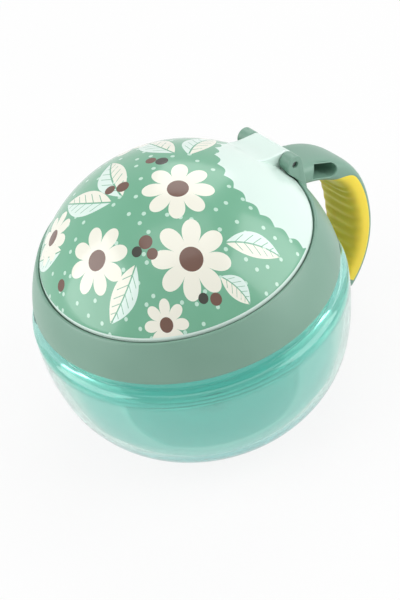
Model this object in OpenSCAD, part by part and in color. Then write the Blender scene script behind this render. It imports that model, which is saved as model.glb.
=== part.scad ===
// Toddler snack cup: a ball-shaped bowl, a screw collar with a handle, a domed flip
// lid on a pinned hinge, and a soft insert whose petals keep the snacks in.
// Origin on the cup's axis at the face it rests on, +Z up, hinge and handle towards +Y.

/* [Bowl] */
// Greatest radius of the bowl
bowl_r = 47.5; // [44:0.5:51]
// Height of the bowl's widest ring above the table
widest_z = 40.3; // [38.5:0.1:42]
// Wall of the bowl
bowl_wall = 2; // [1.6:0.1:2.4]
// Radius of the long arc of the bowl's side, seen in section
side_arc_r = 77; // [66:1:95]
// Drop from the widest ring to where the tighter lower arc takes over
side_arc_drop = 20; // [16:0.5:23]
// Radius of the lower arc that runs under to the base
lower_arc_r = 33; // [30:0.5:36]
// Radius of the rounded shoulder above the widest ring
shoulder_r = 2.6; // [2:0.1:3]
// Width of the ledge between the shoulder and the band under the collar
shoulder_ledge = 0.9; // [0.5:0.1:1.4]
// Height of the band that shows under the collar
band_h = 3.9; // [3:0.1:5]
// Height of the neck above its band
neck_h = 9; // [7:0.1:9.1]
// Wall of the neck
neck_wall = 2; // [1.6:0.1:2.4]

/* [Collar] */
// Radius of the ball that the collar's outside follows
collar_ball_r = 46.5; // [44:0.1:50]
// Open joint between the bowl's band and the collar's lower edge
collar_gap = 0.4; // [0.2:0.1:0.8]
// Height of the collar's skirt, from its lower edge to its deck's underside
skirt_h = 9.5; // [9.4:0.1:11]
// Thickness of the collar's deck over the cup's axis
deck_t = 3.2; // [3:0.1:4]
// Slope of the deck, the lid's edge and the insert, which rise towards the hinge
rim_tilt = 2.3; // [1:0.1:2.6]
// Height of the lip that stands round the lid's edge
lip_h = 1; // [0.7:0.05:1.2]
// Wall between the collar's outside and its bore, at the deck's underside
bore_wall = 2.9; // [2.4:0.1:3.4]
// Room between the neck's wall and the collar's bore, where the threads lie
thread_room = 1.4; // [1.2:0.1:1.8]
// Wall left at the collar's lower edge
skirt_wall = 1.9; // [1.5:0.1:2.4]
// Height over which the bore narrows from the collar's lower edge
skirt_taper_h = 3.2; // [2:0.1:4]
// Distance from the neck's inside to the mouth in the collar's deck
mouth_inset = 4; // [3.7:0.1:6]
// Width of the rebate round the mouth that the insert's flange lies in
rebate_w = 3.2; // [2.5:0.1:4]
// Depth of that rebate
rebate_h = 1.2; // [1:0.1:1.4]

/* [Lid] */
// Depth of the lid's ball inside the collar's ball
lid_inset = 0.7; // [0.5:0.05:1]
// Wall of the lid
lid_wall = 1.8; // [1.4:0.1:2.2]
// Height of the lid's plain edge below the dome
lid_edge_h = 1.4; // [1:0.1:1.8]
// Gap between the lid's edge and the collar's lip
lid_gap = 0.4; // [0.3:0.05:0.5]
// Gap between the lid's underside and the collar's deck
seat_gap = 0.35; // [0.3:0.05:0.6]
// Wall of the ring that bears on the insert's flange
stop_ring_w = 1.4; // [1.2:0.1:2]

/* [Hinge] */
// Distance of the hinge pin in front of the collar's back, at the lip
pin_inset = 2.5; // [2.2:0.1:2.8]
// Height of the hinge pin above the lid's edge
pin_rise = 6.3; // [6.1:0.1:6.8]
// Radius of the hinge pin
pin_r = 1; // [0.8:0.05:1.2]
// Outer radius of the hinge's knuckle and ears
barrel_r = 2.8; // [2.5:0.1:2.9]
// Length of the lid's knuckle
knuckle_len = 14.1; // [12:0.1:16]
// Thickness of each ear of the collar
ear_t = 4.1; // [3:0.1:5]
// Play between the knuckle and an ear
ear_gap = 0.25; // [0.2:0.05:0.4]
// How far each end of the pin lies inside its ear
pin_recess = 0.7; // [0.4:0.1:1.2]
// Radial play of the pin in the knuckle
running_play = 0.05; // [0.03:0.01:0.08]
// Radial play of the pin in the ears
seat_play = 0.02; // [0.01:0.01:0.03]

/* [Handle] */
// Distance of the handle's root behind the collar's ball
stub_reach = 2.8; // [2.6:0.1:4]
// Distance of the handle's outermost centre line from the bowl's side
handle_reach = 15.6; // [13:0.1:20]
// Height of the handle's outermost point
handle_mid_z = 34.1; // [31:0.1:37]
// Height of the handle's tip
handle_tip_z = 6.9; // [6:0.1:12]
// Distance of the handle's tip from the bowl's widest ring
handle_tip_reach = 5.2; // [4.5:0.1:9]
// Half width of the arm at the collar
arm_half_w = 8.4; // [7.5:0.1:9]
// Half width of the handle at the middle of its grip
grip_half_w = 8.4; // [6.5:0.1:9]
// Half width of the handle at its tip
tip_half_w = 5.1; // [4.5:0.1:6.5]
// Half thickness of the handle
handle_half_t = 3.8; // [3.6:0.1:4.2]
// Thickness of the hard strip left bare along the grip's back
bare_strip = 2.3; // [1.5:0.1:2.6]
// Cover of soft grip over the hard core
grip_cover = 1.5; // [1.2:0.1:1.8]
// Height of the ribs on the inner face of the grip
rib_h = 0.5; // [0.2:0.1:0.8]
// Number of ribs
ribs = 9; // [5:1:12]
// Length of the strap slot through the arm
slot_len = 9.2; // [7:0.1:9.4]
// Height of the strap slot
slot_h = 4.3; // [3.8:0.1:4.5]

/* [Insert] */
// Number of petals
petals = 6; // [4:1:8]
// Thickness of the petals
petal_t = 1.2; // [0.8:0.1:1.6]
// Width of the slits between petals
slit = 0.8; // [0.5:0.1:1.2]
// Radius of the hole where the petals meet
centre_hole_r = 2; // [1:0.1:4]
// Wall of the insert's collar
insert_wall = 1.6; // [1.2:0.1:2]
// Depth of the insert's collar below its flange
insert_depth = 2.6; // [2:0.1:4]
// Gap between the insert and the collar's mouth
insert_gap = 0.2; // [0.15:0.05:0.3]
// Gap between a petal's root and the insert's wall
petal_gap = 0.45; // [0.4:0.05:0.8]
// Radius of a petal's rounded root
petal_root_r = 24; // [20:0.5:26]
// Thickness of the seal between the neck and the collar
seal_t = 0.8; // [0.6:0.1:0.9]

/* [Hidden] */
$fn = 96;
// Reach of a cut past the face it opens
past = 1;
// Depth to which a joined piece runs into the wall that carries it
weld = 0.8;

// Height of the bowl's plain inner wall between its arcs and the slope up to the neck
shoulder_land = 0.2;
// Drop of that slope's top below the neck's foot
throat_drop = 0.5;
// Clearance between an ear or the handle's stub and the dome in front of it
ear_clear = 0.5;
// Distance in front of the pin at which the lid's tongue meets the dome
tongue_run = 8.7;
// How far the tongue's underside runs below the pin
tongue_drop = 2;
// Margin between the seal's edges and the faces of the neck
seal_margin = 0.1;
// Margin between the lid's stop ring and the edge of the insert's flange
stop_margin = 0.6;

band_r = bowl_r - shoulder_r - shoulder_ledge;
shoulder_z = widest_z + shoulder_r;
band_z = shoulder_z + band_h;
neck_z = band_z + neck_h;

collar_z = band_z + collar_gap;
deck_under_z = collar_z + skirt_h;
thread_bore_r = ball_radius_at(collar_ball_r, deck_under_z) - bore_wall;
skirt_in_r = ball_radius_at(collar_ball_r, collar_z) - skirt_wall;
neck_r = thread_bore_r - thread_room;
neck_in_r = neck_r - neck_wall;
mouth_r = neck_in_r - mouth_inset;
flange_r = mouth_r + rebate_w;

// Heights from here on are measured along the tilted axis of the lid's edge
deck_z = deck_under_z + deck_t;
lip_z = deck_z + lip_h;
lid_under_z = deck_z + seat_gap;
lid_edge_z = lid_under_z + lid_edge_h;
lid_ball_r = collar_ball_r - lid_inset;
lid_edge_r = ball_radius_at(lid_ball_r, lid_edge_z);
lid_in_r = lid_ball_r - lid_wall;
lid_mid_r = lid_ball_r - lid_wall / 2;
lid_seat_r = lid_edge_r + lid_gap;
stop_ring_r = flange_r - insert_gap - stop_margin;

// The collar's back at the lip, and the lid's edge at the hinge
collar_back = tilted_point([ball_radius_at(collar_ball_r, lip_z), lip_z]);
lid_back = tilted_point([lid_edge_r, lid_edge_z]);
pin_y = collar_back[0] - pin_inset;
pin_z = lid_back[1] + pin_rise;
ear_x = knuckle_len / 2 + ear_gap;
hinge_half_w = ear_x + ear_t;

function ball_radius_at(r, z) = sqrt(r * r - pow(z - widest_z, 2));
function ball_height_at(r, y) = widest_z + sqrt(r * r - y * y);
// A point of the plane of the hinge, tilted about the balls' centre
function tilted_point(p) = let (c = cos(rim_tilt), s = sin(rim_tilt), z = p[1] - widest_z)
    [p[0] * c - z * s, widest_z + p[0] * s + z * c];

// What follows the tilted edge of the lid
module tilted() {
    translate([0, 0, widest_z]) rotate([rim_tilt, 0, 0]) translate([0, 0, -widest_z]) children();
}

// Part of a disc, drawn right of the axis, between two heights
module disc_band(r, centre, z0, z1) {
    intersection() {
        translate(centre) circle(r);
        translate([0, z0]) square([centre[0] + r + past, z1 - z0]);
    }
}

// ---- Bowl ----

side_centre = [bowl_r - side_arc_r, widest_z];
side_lean = asin(side_arc_drop / side_arc_r);
lower_centre = side_centre + (side_arc_r - lower_arc_r) * [cos(side_lean), -sin(side_lean)];
arc_change_z = widest_z - side_arc_drop;

// Section of the bowl's ball, drawn in by an inset
module bowl_section(inset, floor_z) {
    disc_band(side_arc_r - inset, side_centre, arc_change_z, widest_z);
    disc_band(lower_arc_r - inset, lower_centre, floor_z, arc_change_z);
}

module bowl() {
    color([0.62, 0.87, 0.83, 0.6])
    rotate_extrude() difference() {
        union() {
            bowl_section(0, 0);
            disc_band(shoulder_r, [bowl_r - shoulder_r, widest_z], widest_z, shoulder_z);
            translate([0, widest_z]) square([bowl_r - shoulder_r, shoulder_r]);
            translate([0, shoulder_z]) square([band_r, band_h]);
            translate([0, band_z]) square([neck_r, neck_h]);
        }
        bowl_section(bowl_wall, bowl_wall);
        polygon([
            [0, widest_z - bowl_wall],
            [bowl_r - bowl_wall, widest_z - bowl_wall],
            [bowl_r - bowl_wall, widest_z - bowl_wall + shoulder_land],
            [neck_in_r, band_z - throat_drop],
            [neck_in_r, neck_z + past],
            [0, neck_z + past],
        ]);
    }
}

// Flat ring that the neck's rim closes on
module seal() {
    color([0.93, 0.94, 0.92])
    translate([0, 0, deck_under_z - seal_t]) difference() {
        cylinder(r = neck_r - seal_margin, h = seal_t);
        translate([0, 0, -past]) cylinder(r = neck_in_r + seal_margin, h = seal_t + 2 * past);
    }
}

// ---- Handle ----

// Depth of the arm's centre line below the deck where it leaves the collar
root_drop = 0.7;
// The handle's centre line: two joined cubic arcs in the plane of the hinge. Each pull
// is how far a control point stands off the end of its arc
root_z = deck_z - root_drop;
root_y = ball_radius_at(collar_ball_r, root_z) + stub_reach;
reach_y = bowl_r + handle_reach;
tip = [bowl_r + handle_tip_reach, handle_tip_z];
root_pull = [12.2, -4.5];
reach_pull_up = 13.8;
reach_pull_down = 12.9;
tip_pull = [6, 2.6];
arm_curve = [
    [root_y, root_z], [root_y, root_z] + root_pull,
    [reach_y, handle_mid_z + reach_pull_up], [reach_y, handle_mid_z]
];
tail_curve = [
    [reach_y, handle_mid_z], [reach_y, handle_mid_z - reach_pull_down],
    tip + tip_pull, tip
];

function cubic(c, t) =
    pow(1 - t, 3) * c[0] + 3 * t * pow(1 - t, 2) * c[1]
    + 3 * t * t * (1 - t) * c[2] + pow(t, 3) * c[3];
function cubic_slope(c, t) =
    pow(1 - t, 2) * (c[1] - c[0]) + 2 * t * (1 - t) * (c[2] - c[1]) + t * t * (c[3] - c[2]);
// u runs from 0 at the collar, through 1 at the outermost point, to 2 at the tip
function line_at(u) = u <= 1 ? cubic(arm_curve, u) : cubic(tail_curve, u - 1);
function unit(v) = v / norm(v);
function along(u) = unit(u <= 1 ? cubic_slope(arm_curve, u) : cubic_slope(tail_curve, u - 1));
function outward(u) = [-along(u)[1], along(u)[0]];
function blend(a, b, s) = let (k = max(0, min(1, s))) a + (b - a) * k * k * (3 - 2 * k);

// Where the soft grip starts and ends along the handle
grip_start = 0.3;
grip_end = 1.84;
// Where the grip's edge has climbed to its full height up the sides
grip_full = 0.64;
// Where the arm has reached the width of the grip
arm_end = 0.9;
// Where the tip starts to round off, and the least share of its section squared
tip_start = 1.9;
tip_least = 0.03;
// Cover of the grip where it starts, and the height of its edge there
cover_start = 0.45;
edge_start = 0.25;
// Length of plain grip past the ribs
rib_margin = 0.1;
// Angle by which the core's two outlines stay apart where they have no step
seam = 4;
// Squareness of the section: 2 is an ellipse
squareness = 3.2;
half_points = 14;

function tip_scale(u) = u <= tip_start ? 1
    : sqrt(max(tip_least, 1 - pow((u - tip_start) / (2 - tip_start), 2)));
function half_w(u) = tip_scale(u)
    * (u <= 1 ? blend(arm_half_w, grip_half_w, u / arm_end) : blend(grip_half_w, tip_half_w, u - 1));
function half_t(u) = tip_scale(u) * handle_half_t;
function gripped(u) = u >= grip_start && u <= grip_end;
function climb(u) = (u - grip_start) / (grip_full - grip_start);
function cover(u) = gripped(u) ? blend(cover_start, grip_cover, climb(u)) : 0;
function split(u) = gripped(u)
    ? blend(-half_t(u) + cover(u) + edge_start, half_t(u) - bare_strip, climb(u))
    : 0;

function rounded(w, t, a) = [
    w * sign(cos(a)) * pow(abs(cos(a)), 2 / squareness),
    t * sign(sin(a)) * pow(abs(sin(a)), 2 / squareness)
];
// Angle round the section at which its outline is at height n
function angle_at(t, n) = asin(sign(n) * pow(min(1, abs(n / t)), squareness / 2));

// Outline over the split, then back under the core. Where there is no grip the core
// has no step, so its points keep a small angle clear of the first ones
function back_outline(u) = let (
    w = half_w(u), t = half_t(u), c = cover(u), n = split(u), clear = c > 0 ? 0 : seam,
    a = angle_at(t, n), b = angle_at(t - c, n) - clear
) concat(
    [for (i = [0:half_points]) rounded(w, t, a + (180 - 2 * a) * i / half_points)],
    [for (i = [0:half_points]) rounded(w - c, t - c, 180 - b + (180 + 2 * b) * i / half_points)]
);
// Soft rib on the inner face, fading towards the sides
function rib(u, a) = let (s = (u - grip_full) / (grip_end - rib_margin - grip_full))
    s <= 0 || s >= 1 ? 0 : rib_h * pow(sin(180 * ribs * s), 2) * pow(max(0, -sin(a)), 2);
// Outline of the grip: under the core outside, and back along the core
function grip_outline(u) = let (
    w = half_w(u), t = half_t(u), c = cover(u), n = split(u),
    a = angle_at(t, n), b = angle_at(t - c, n)
) concat(
    [for (i = [0:half_points]) let (q = 180 - a + (180 + 2 * a) * i / half_points)
        rounded(w, t, q) - [0, rib(u, q)]],
    [for (i = [half_points:-1:0]) rounded(w - c, t - c, 180 - b + (180 + 2 * b) * i / half_points)]
);
function seat_point(u, p) = let (q = line_at(u) + p[1] * outward(u)) [p[0], q[0], q[1]];

// Skin through a row of rings that all have as many points. A folded ring goes out and
// comes back along itself, so its end is closed by a strip across the fold
module skin(rings, folded = false) {
    n = len(rings[0]);
    last = (len(rings) - 1) * n;
    polyhedron(
        points = [for (ring = rings) each ring],
        faces = concat(
            folded ? [for (i = [0:n / 2 - 2]) [n - 1 - i, n - 2 - i, i + 1, i]]
                : [[for (i = [n - 1:-1:0]) i]],
            [for (o = [0:n:last - n], i = [0:n - 1]) let (j = (i + 1) % n)
                each [[o + i, o + j, o + n + j], [o + i, o + n + j, o + n + i]]],
            folded ? [for (i = [0:n / 2 - 2]) [i, i + 1, n - 2 - i, n - 1 - i] + last * [1, 1, 1, 1]]
                : [[for (i = [0:n - 1]) last + i]]
        ),
        convexity = 8
    );
}

// Stations along the handle, with a pair close together where the section steps
step_gap = 0.003;
arm_stations = [for (i = [0:5]) (grip_start - step_gap) * i / 5];
grip_steps = 60;
grip_stations = [for (i = [0:grip_steps]) grip_start + (grip_end - grip_start) * i / grip_steps];
tip_stations = [for (i = [0:8]) let (u0 = grip_end + step_gap) u0 + (2 - u0) * sin(90 * i / 8)];

// Slot for a strap through the arm: flat beside the hinge, round at its far end
slot_u = 0.165;
slot_lift = 0.4;
module strap_slot() {
    at = line_at(slot_u) + slot_lift * outward(slot_u);
    dir = along(slot_u);
    w = 2 * (max(arm_half_w, grip_half_w) + past);
    translate([-w / 2, at[0], at[1]])
        rotate([90, 0, 90]) rotate(atan2(dir[1], dir[0])) linear_extrude(w) {
            translate([-slot_len / 2, -slot_h / 2]) square([slot_len - slot_h / 2, slot_h]);
            translate([slot_len / 2 - slot_h / 2, 0]) circle(slot_h / 2);
        }
}

module handle() {
    color([0.60, 0.74, 0.68]) difference() {
        skin([for (u = concat(arm_stations, grip_stations, tip_stations))
            [for (p = back_outline(u)) seat_point(u, p)]]);
        strap_slot();
    }
}

module grip() {
    color([0.80, 0.76, 0.25]) difference() {
        skin([for (u = grip_stations) [for (p = grip_outline(u)) seat_point(u, p)]], folded = true);
        strap_slot();
    }
}

// ---- Collar ----

// Ball of the collar over its threaded bore, before its top is cut
module collar_ring() {
    rotate_extrude() difference() {
        disc_band(collar_ball_r, [0, widest_z], collar_z, widest_z + collar_ball_r);
        square([thread_bore_r, deck_under_z]);
        polygon([
            [0, collar_z - past],
            [skirt_in_r, collar_z - past],
            [skirt_in_r, collar_z],
            [thread_bore_r, collar_z + skirt_taper_h],
            [0, collar_z + skirt_taper_h],
        ]);
    }
}

// What the tilted top takes off the ring: all above the lip, the lid's seat, the
// insert's rebate and the mouth
module collar_top_cut() {
    all = 2 * collar_ball_r;
    tilted() rotate_extrude() {
        translate([0, lip_z]) square([all, all]);
        translate([0, deck_z]) square([lid_seat_r, all]);
        translate([0, deck_z - rebate_h]) square([flange_r, all]);
        translate([0, collar_z]) square([mouth_r, all]);
    }
}

module ear() {
    rotate([90, 0, 90]) linear_extrude(ear_t) {
        translate([pin_y, pin_z]) circle(barrel_r);
        translate([pin_y - barrel_r, deck_under_z])
            square([2 * barrel_r, pin_z - deck_under_z]);
    }
}

// Stub that the arm's root seats on, running back in to the collar's wall
module handle_stub() {
    dir = along(0);
    translate([0, root_y, root_z]) rotate([90, 0, 0]) rotate([atan2(dir[1], dir[0]), 0, 0])
        linear_extrude(stub_reach + barrel_r)
            polygon([for (p = back_outline(0)) [-p[0], p[1]]]);
}

module collar() {
    color([0.60, 0.74, 0.68]) difference() {
        union() {
            difference() {
                collar_ring();
                collar_top_cut();
            }
            difference() {
                union() {
                    translate([ear_x, 0, 0]) ear();
                    translate([-hinge_half_w, 0, 0]) ear();
                    handle_stub();
                }
                translate([0, 0, widest_z]) sphere(lid_ball_r + ear_clear);
                cylinder(r = thread_bore_r, h = deck_under_z);
                tilted() translate([0, 0, deck_z])
                    cylinder(r = lid_seat_r, h = lid_edge_z + lid_gap - deck_z);
            }
        }
        translate([-hinge_half_w - past, pin_y, pin_z]) rotate([0, 90, 0])
            cylinder(r = pin_r + seat_play, h = 2 * (hinge_half_w + past));
    }
}

module hinge_pin() {
    len = 2 * (hinge_half_w - pin_recess);
    color([0.35, 0.42, 0.40])
    translate([-len / 2, pin_y, pin_z]) rotate([0, 90, 0]) cylinder(r = pin_r, h = len);
}

// ---- Lid ----

module lid_shell() {
    tilted() rotate_extrude() {
        difference() {
            union() {
                disc_band(lid_ball_r, [0, widest_z], lid_edge_z, widest_z + lid_ball_r);
                translate([0, lid_under_z]) square([lid_edge_r, lid_edge_h]);
            }
            translate([0, widest_z]) circle(lid_in_r);
        }
        intersection() {
            translate([0, widest_z]) circle(lid_in_r + weld);
            translate([stop_ring_r - stop_ring_w, lid_under_z]) square([stop_ring_w, lid_ball_r]);
        }
    }
}

// Tongue that carries the dome's surface back to the knuckle, drawn in the hinge's plane
module tongue_profile() {
    root = [pin_y - tongue_run, ball_height_at(lid_mid_r, pin_y - tongue_run)];
    reach = [pin_y, pin_z] - root;
    lean = atan2(reach[1], reach[0]) + asin(barrel_r / norm(reach));
    low_z = pin_z - tongue_drop;
    polygon([
        root,
        [pin_y, pin_z] + barrel_r * [-sin(lean), cos(lean)],
        [pin_y, pin_z],
        [ball_radius_at(lid_mid_r, low_z), low_z],
    ]);
    translate([pin_y, pin_z]) circle(barrel_r);
}

module lid() {
    color([0.87, 0.94, 0.91]) difference() {
        union() {
            lid_shell();
            difference() {
                translate([-knuckle_len / 2, 0, 0]) rotate([90, 0, 90])
                    linear_extrude(knuckle_len) tongue_profile();
                translate([0, 0, widest_z]) sphere(lid_mid_r);
            }
        }
        translate([-knuckle_len, pin_y, pin_z]) rotate([0, 90, 0])
            cylinder(r = pin_r + running_play, h = 2 * knuckle_len);
    }
}

// ---- Insert ----

insert_r = mouth_r - insert_gap;
insert_in_r = insert_r - insert_wall;
insert_z = deck_z - rebate_h - insert_depth;
// Height of the petals' underside above the lower edge of the insert's wall
petal_lift = 0.3;

module insert() {
    color([0.95, 0.96, 0.93]) tilted() rotate_extrude() {
        translate([insert_in_r, insert_z]) square([insert_wall, deck_z - insert_z]);
        translate([insert_in_r, deck_z - rebate_h])
            square([flange_r - insert_gap - insert_in_r, rebate_h]);
    }
}

// One soft petal, from its root at the insert's wall to the hole in the middle
module petal(i) {
    root_r = insert_in_r - petal_gap;
    half = 180 / petals;
    color([0.93, 0.95, 0.92]) tilted()
    rotate(360 / petals * (i - 1)) translate([0, 0, insert_z + petal_lift])
        linear_extrude(petal_t) difference() {
            intersection() {
                translate([root_r - petal_root_r, 0]) circle(petal_root_r);
                translate([slit / 2 / sin(half), 0]) polygon([
                    [0, 0],
                    2 * root_r * [cos(half), -sin(half)],
                    [3 * root_r, 0],
                    2 * root_r * [cos(half), sin(half)],
                ]);
            }
            circle(centre_hole_r);
        }
}

bowl();
seal();
collar();
hinge_pin();
handle();
grip();
insert();
lid();
for (i = [1:petals])
    petal(i);
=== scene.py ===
"""Looks of a toddler snack cup: glossy printed dome lid, satin screw collar, clear tinted
bowl, soft ribbed grip and a silicone petal insert, in a plain pale studio.

Lengths are millimetres until a mesh is written, in metres. The hinge's plane is upright and
runs from front to back: a place in it is a distance behind the cup's axis and a height.
"""

import logging
import math
from collections.abc import Callable, Mapping, Sequence
from dataclasses import dataclass, field
from enum import Enum
from functools import partial

import bmesh
import bpy
import numpy as np
from mathutils import Matrix, Vector


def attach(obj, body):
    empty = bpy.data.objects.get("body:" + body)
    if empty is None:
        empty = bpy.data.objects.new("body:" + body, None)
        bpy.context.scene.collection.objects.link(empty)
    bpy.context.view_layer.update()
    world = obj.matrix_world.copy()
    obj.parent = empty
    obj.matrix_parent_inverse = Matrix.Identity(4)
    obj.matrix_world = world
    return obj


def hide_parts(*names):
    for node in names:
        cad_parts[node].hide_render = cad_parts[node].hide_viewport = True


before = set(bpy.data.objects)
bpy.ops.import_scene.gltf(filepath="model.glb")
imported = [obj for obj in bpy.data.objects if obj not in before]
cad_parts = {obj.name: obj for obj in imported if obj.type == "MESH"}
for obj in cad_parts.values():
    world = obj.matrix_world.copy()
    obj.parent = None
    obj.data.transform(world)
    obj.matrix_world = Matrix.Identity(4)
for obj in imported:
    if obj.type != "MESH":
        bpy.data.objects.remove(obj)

Thing = bpy.types.Object
Material = bpy.types.Material
Socket = bpy.types.NodeSocket
Adder = Callable[..., Socket]
Pair = tuple[float, float]
Triple = tuple[float, float, float]
Real = float | np.ndarray

LOG = logging.getLogger("snack_cup")
MM = 0.001
WHITE = (1.0, 1.0, 1.0, 1.0)
BALL_Z = 40.3        # height of the balls' common centre, the bowl's widest ring
CENTRE = np.array([0, 0, BALL_Z])
CLEAR_BALL = 46.3    # the ears and the handle keep out of this ball, so that the lid can swing
RIM_TILT = math.radians(2.3)
TILT_COS, TILT_SIN = math.cos(RIM_TILT), math.sin(RIM_TILT)
HINGE = (38.328, 69.559)
BARREL = 2.8         # radius of the ears' bosses and of the lid's knuckle
ROUND = 256          # points round a large ring
SMALL_ROUND = 48     # points round the pin and its bores
OFF_PRINT = 200.0    # a place on the dome's map that lies beyond the print


class Slot(Enum):
    """Material slots of the record."""

    CLEAR_TEAL = "clear_teal"
    SOFT_WHITE = "soft_white"
    SAGE = "sage"
    PIN_STEEL = "pin_steel"
    SOFT_YELLOW = "soft_yellow"
    MINT = "mint"


class Body(Enum):
    """Bodies of the frame that the pieces ride on."""

    CUP = "cup"
    COLLAR = "collar"
    LID = "lid"
    PETAL_1 = "petal_1"
    PETAL_2 = "petal_2"
    PETAL_3 = "petal_3"
    PETAL_4 = "petal_4"
    PETAL_5 = "petal_5"
    PETAL_6 = "petal_6"


# ------------ small geometry


def leg(long: Real, side: Real) -> Real:
    """Other leg of a right triangle, by its long side and one leg."""
    return np.sqrt(long**2 - side**2)


def circle(radius: float, z: float) -> np.ndarray:
    """Level ring of points round the cup's axis."""
    turn = np.linspace(0, 2 * np.pi, ROUND, endpoint=False)
    return np.stack([radius * np.cos(turn), radius * np.sin(turn), np.full(ROUND, z)], -1)


def wheel(x: float, radius: float) -> np.ndarray:
    """Upright ring of points round the hinge's axis; a radius of 0 is a pole."""
    turn = np.linspace(0, 2 * np.pi, SMALL_ROUND if radius else 1, endpoint=False)
    return np.stack([x + 0 * turn, HINGE[0] + radius * np.cos(turn), HINGE[1] + radius * np.sin(turn)], -1)


def tilted(points: np.ndarray) -> np.ndarray:
    """Points turned about the common centre by the slope of the lid's edge."""
    x, y, up = points[:, 0], points[:, 1], points[:, 2] - BALL_Z
    return np.stack([x, y * TILT_COS - up * TILT_SIN, BALL_Z + y * TILT_SIN + up * TILT_COS], -1)


def arc(centre: Pair, radius: float, start: float, end: float, count: int) -> list[Pair]:
    """Points of a circular arc, by its angles in degrees."""
    turns = [math.radians(start + (end - start) * i / (count - 1)) for i in range(count)]
    return [(centre[0] + radius * math.cos(t), centre[1] + radius * math.sin(t)) for t in turns]


def ease(start: float, end: float, share: float) -> float:
    """Smooth change from one value to another as share goes from 0 to 1."""
    k = min(1.0, max(0.0, share))
    return start + (end - start) * k * k * (3 - 2 * k)


def bezier(c: np.ndarray, t: Real) -> np.ndarray:
    """Points of a Bezier curve, by its control points."""
    return c[0] if len(c) == 1 else (1 - t) * bezier(c[:-1], t) + t * bezier(c[1:], t)


def new_object(name: str, data: bpy.types.ID) -> Thing:
    """Makes an object and adds it to the scene.

    Args:
        name: the object's name.
        data: its data, such as a mesh or a lamp.
    Returns:
        The object.
    """
    made = bpy.data.objects.new(name, data)
    bpy.context.scene.collection.objects.link(made)
    return made


def smooth(made: Thing, sharp: float) -> None:
    """Shades an object smooth, but for edges that turn more than an angle in degrees."""
    made.data.shade_smooth()
    made.data.set_sharp_from_angle(angle=math.radians(sharp))


def turn_outwards(made: Thing, sharp: float) -> None:
    """Merges doubles, points the faces outwards and shades the object.

    Args:
        made: the object.
        sharp: least turn of an edge that stays sharp, in degrees.
    """
    work = bmesh.new()
    work.from_mesh(made.data)
    bmesh.ops.remove_doubles(work, verts=work.verts, dist=1e-7)
    bmesh.ops.recalc_face_normals(work, faces=work.faces)
    work.to_mesh(made.data)
    work.free()
    smooth(made, sharp)


def loft(name: str, rings: Sequence[np.ndarray], sharp: float = 40, closed: bool = False,
         capped: bool = False, extra: Sequence[Sequence[int]] = ()) -> Thing:
    """Makes an object from a row of rings, each bridged to the next.

    Args:
        name: the object's name.
        rings: closed rings of as many points; a ring of one point is a pole.
        sharp: least turn of an edge that stays sharp, in degrees.
        closed: whether the last ring is bridged to the first.
        capped: whether a face closes the first ring and another the last.
        extra: further faces, by the numbers of their points.
    Returns:
        The object, its faces outwards.
    """
    ends = np.cumsum([len(ring) for ring in rings])
    numbers = [list(range(end - len(ring), end)) for ring, end in zip(rings, ends)]
    faces = []
    for a, b in zip(numbers, numbers[1:] + numbers[:1] * closed):
        count = max(len(a), len(b))
        for i in range(count):
            j = (i + 1) % count
            faces.append((a if len(a) == 1 else [a[i], a[j]]) + (b if len(b) == 1 else [b[j], b[i]]))
    if capped:
        faces += [numbers[0][::-1], numbers[-1]]
    mesh = bpy.data.meshes.new(name)
    mesh.from_pydata((np.concatenate(rings) * MM).tolist(), [], faces + list(extra))
    made = new_object(name, mesh)
    turn_outwards(made, sharp)
    return made


def revolve(name: str, profile: Sequence[Pair], sharp: float, tilt: bool = False) -> Thing:
    """Makes a closed section turned round the cup's axis.

    Args:
        name: the object's name.
        profile: radii and heights of the section; a radius of 0 is a pole.
        sharp: least turn of an edge that stays sharp, in degrees.
        tilt: whether it slopes with the lid's edge.
    Returns:
        The object.
    """
    rings = [circle(r, z) if r > 0 else np.array([[0.0, 0.0, z]]) for r, z in profile]
    if tilt:
        rings = [tilted(ring) for ring in rings]
    return loft(name, rings, sharp, closed=profile[0][0] > 0)


def settle(made: Thing) -> None:
    """Turns an object with its modifiers into a plain mesh.

    Args:
        made: the object.
    """
    plain = bpy.data.meshes.new_from_object(made.evaluated_get(bpy.context.evaluated_depsgraph_get()))
    made.modifiers.clear()
    made.data = plain
    plain.name = made.name


def soften(made: Thing, width: float, segments: int = 3, angle: float = 30) -> None:
    """Rounds an object's sharp edges, as a mould does.

    Args:
        made: the object.
        width: width of the rounding.
        segments: steps across it.
        angle: least turn of an edge that is rounded, in degrees.
    """
    bevel = made.modifiers.new("Moulded edges", "BEVEL")
    bevel.limit_method = "ANGLE"
    bevel.angle_limit = math.radians(angle)
    bevel.width = width * MM
    bevel.segments = segments
    settle(made)
    smooth(made, 50)


def cut(made: Thing, tool: Thing) -> None:
    """Cuts one closed shape out of another.

    Args:
        made: the shape that is cut.
        tool: the shape that is cut out of it, which is removed.
    """
    knife = made.modifiers.new("Cut", "BOOLEAN")
    knife.object = tool
    knife.operation = "DIFFERENCE"
    knife.solver = "EXACT"
    settle(made)
    bpy.data.objects.remove(tool)


def join(first: Thing, *others: Thing) -> Thing:
    """Joins pieces of one material.

    Args:
        first: the piece that takes up the others.
        others: pieces that are removed.
    Returns:
        The first piece.
    """
    work = bmesh.new()
    for made in (first, *others):
        work.from_mesh(made.data)
    work.to_mesh(first.data)
    work.free()
    for made in others:
        bpy.data.objects.remove(made)
    return first


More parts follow.
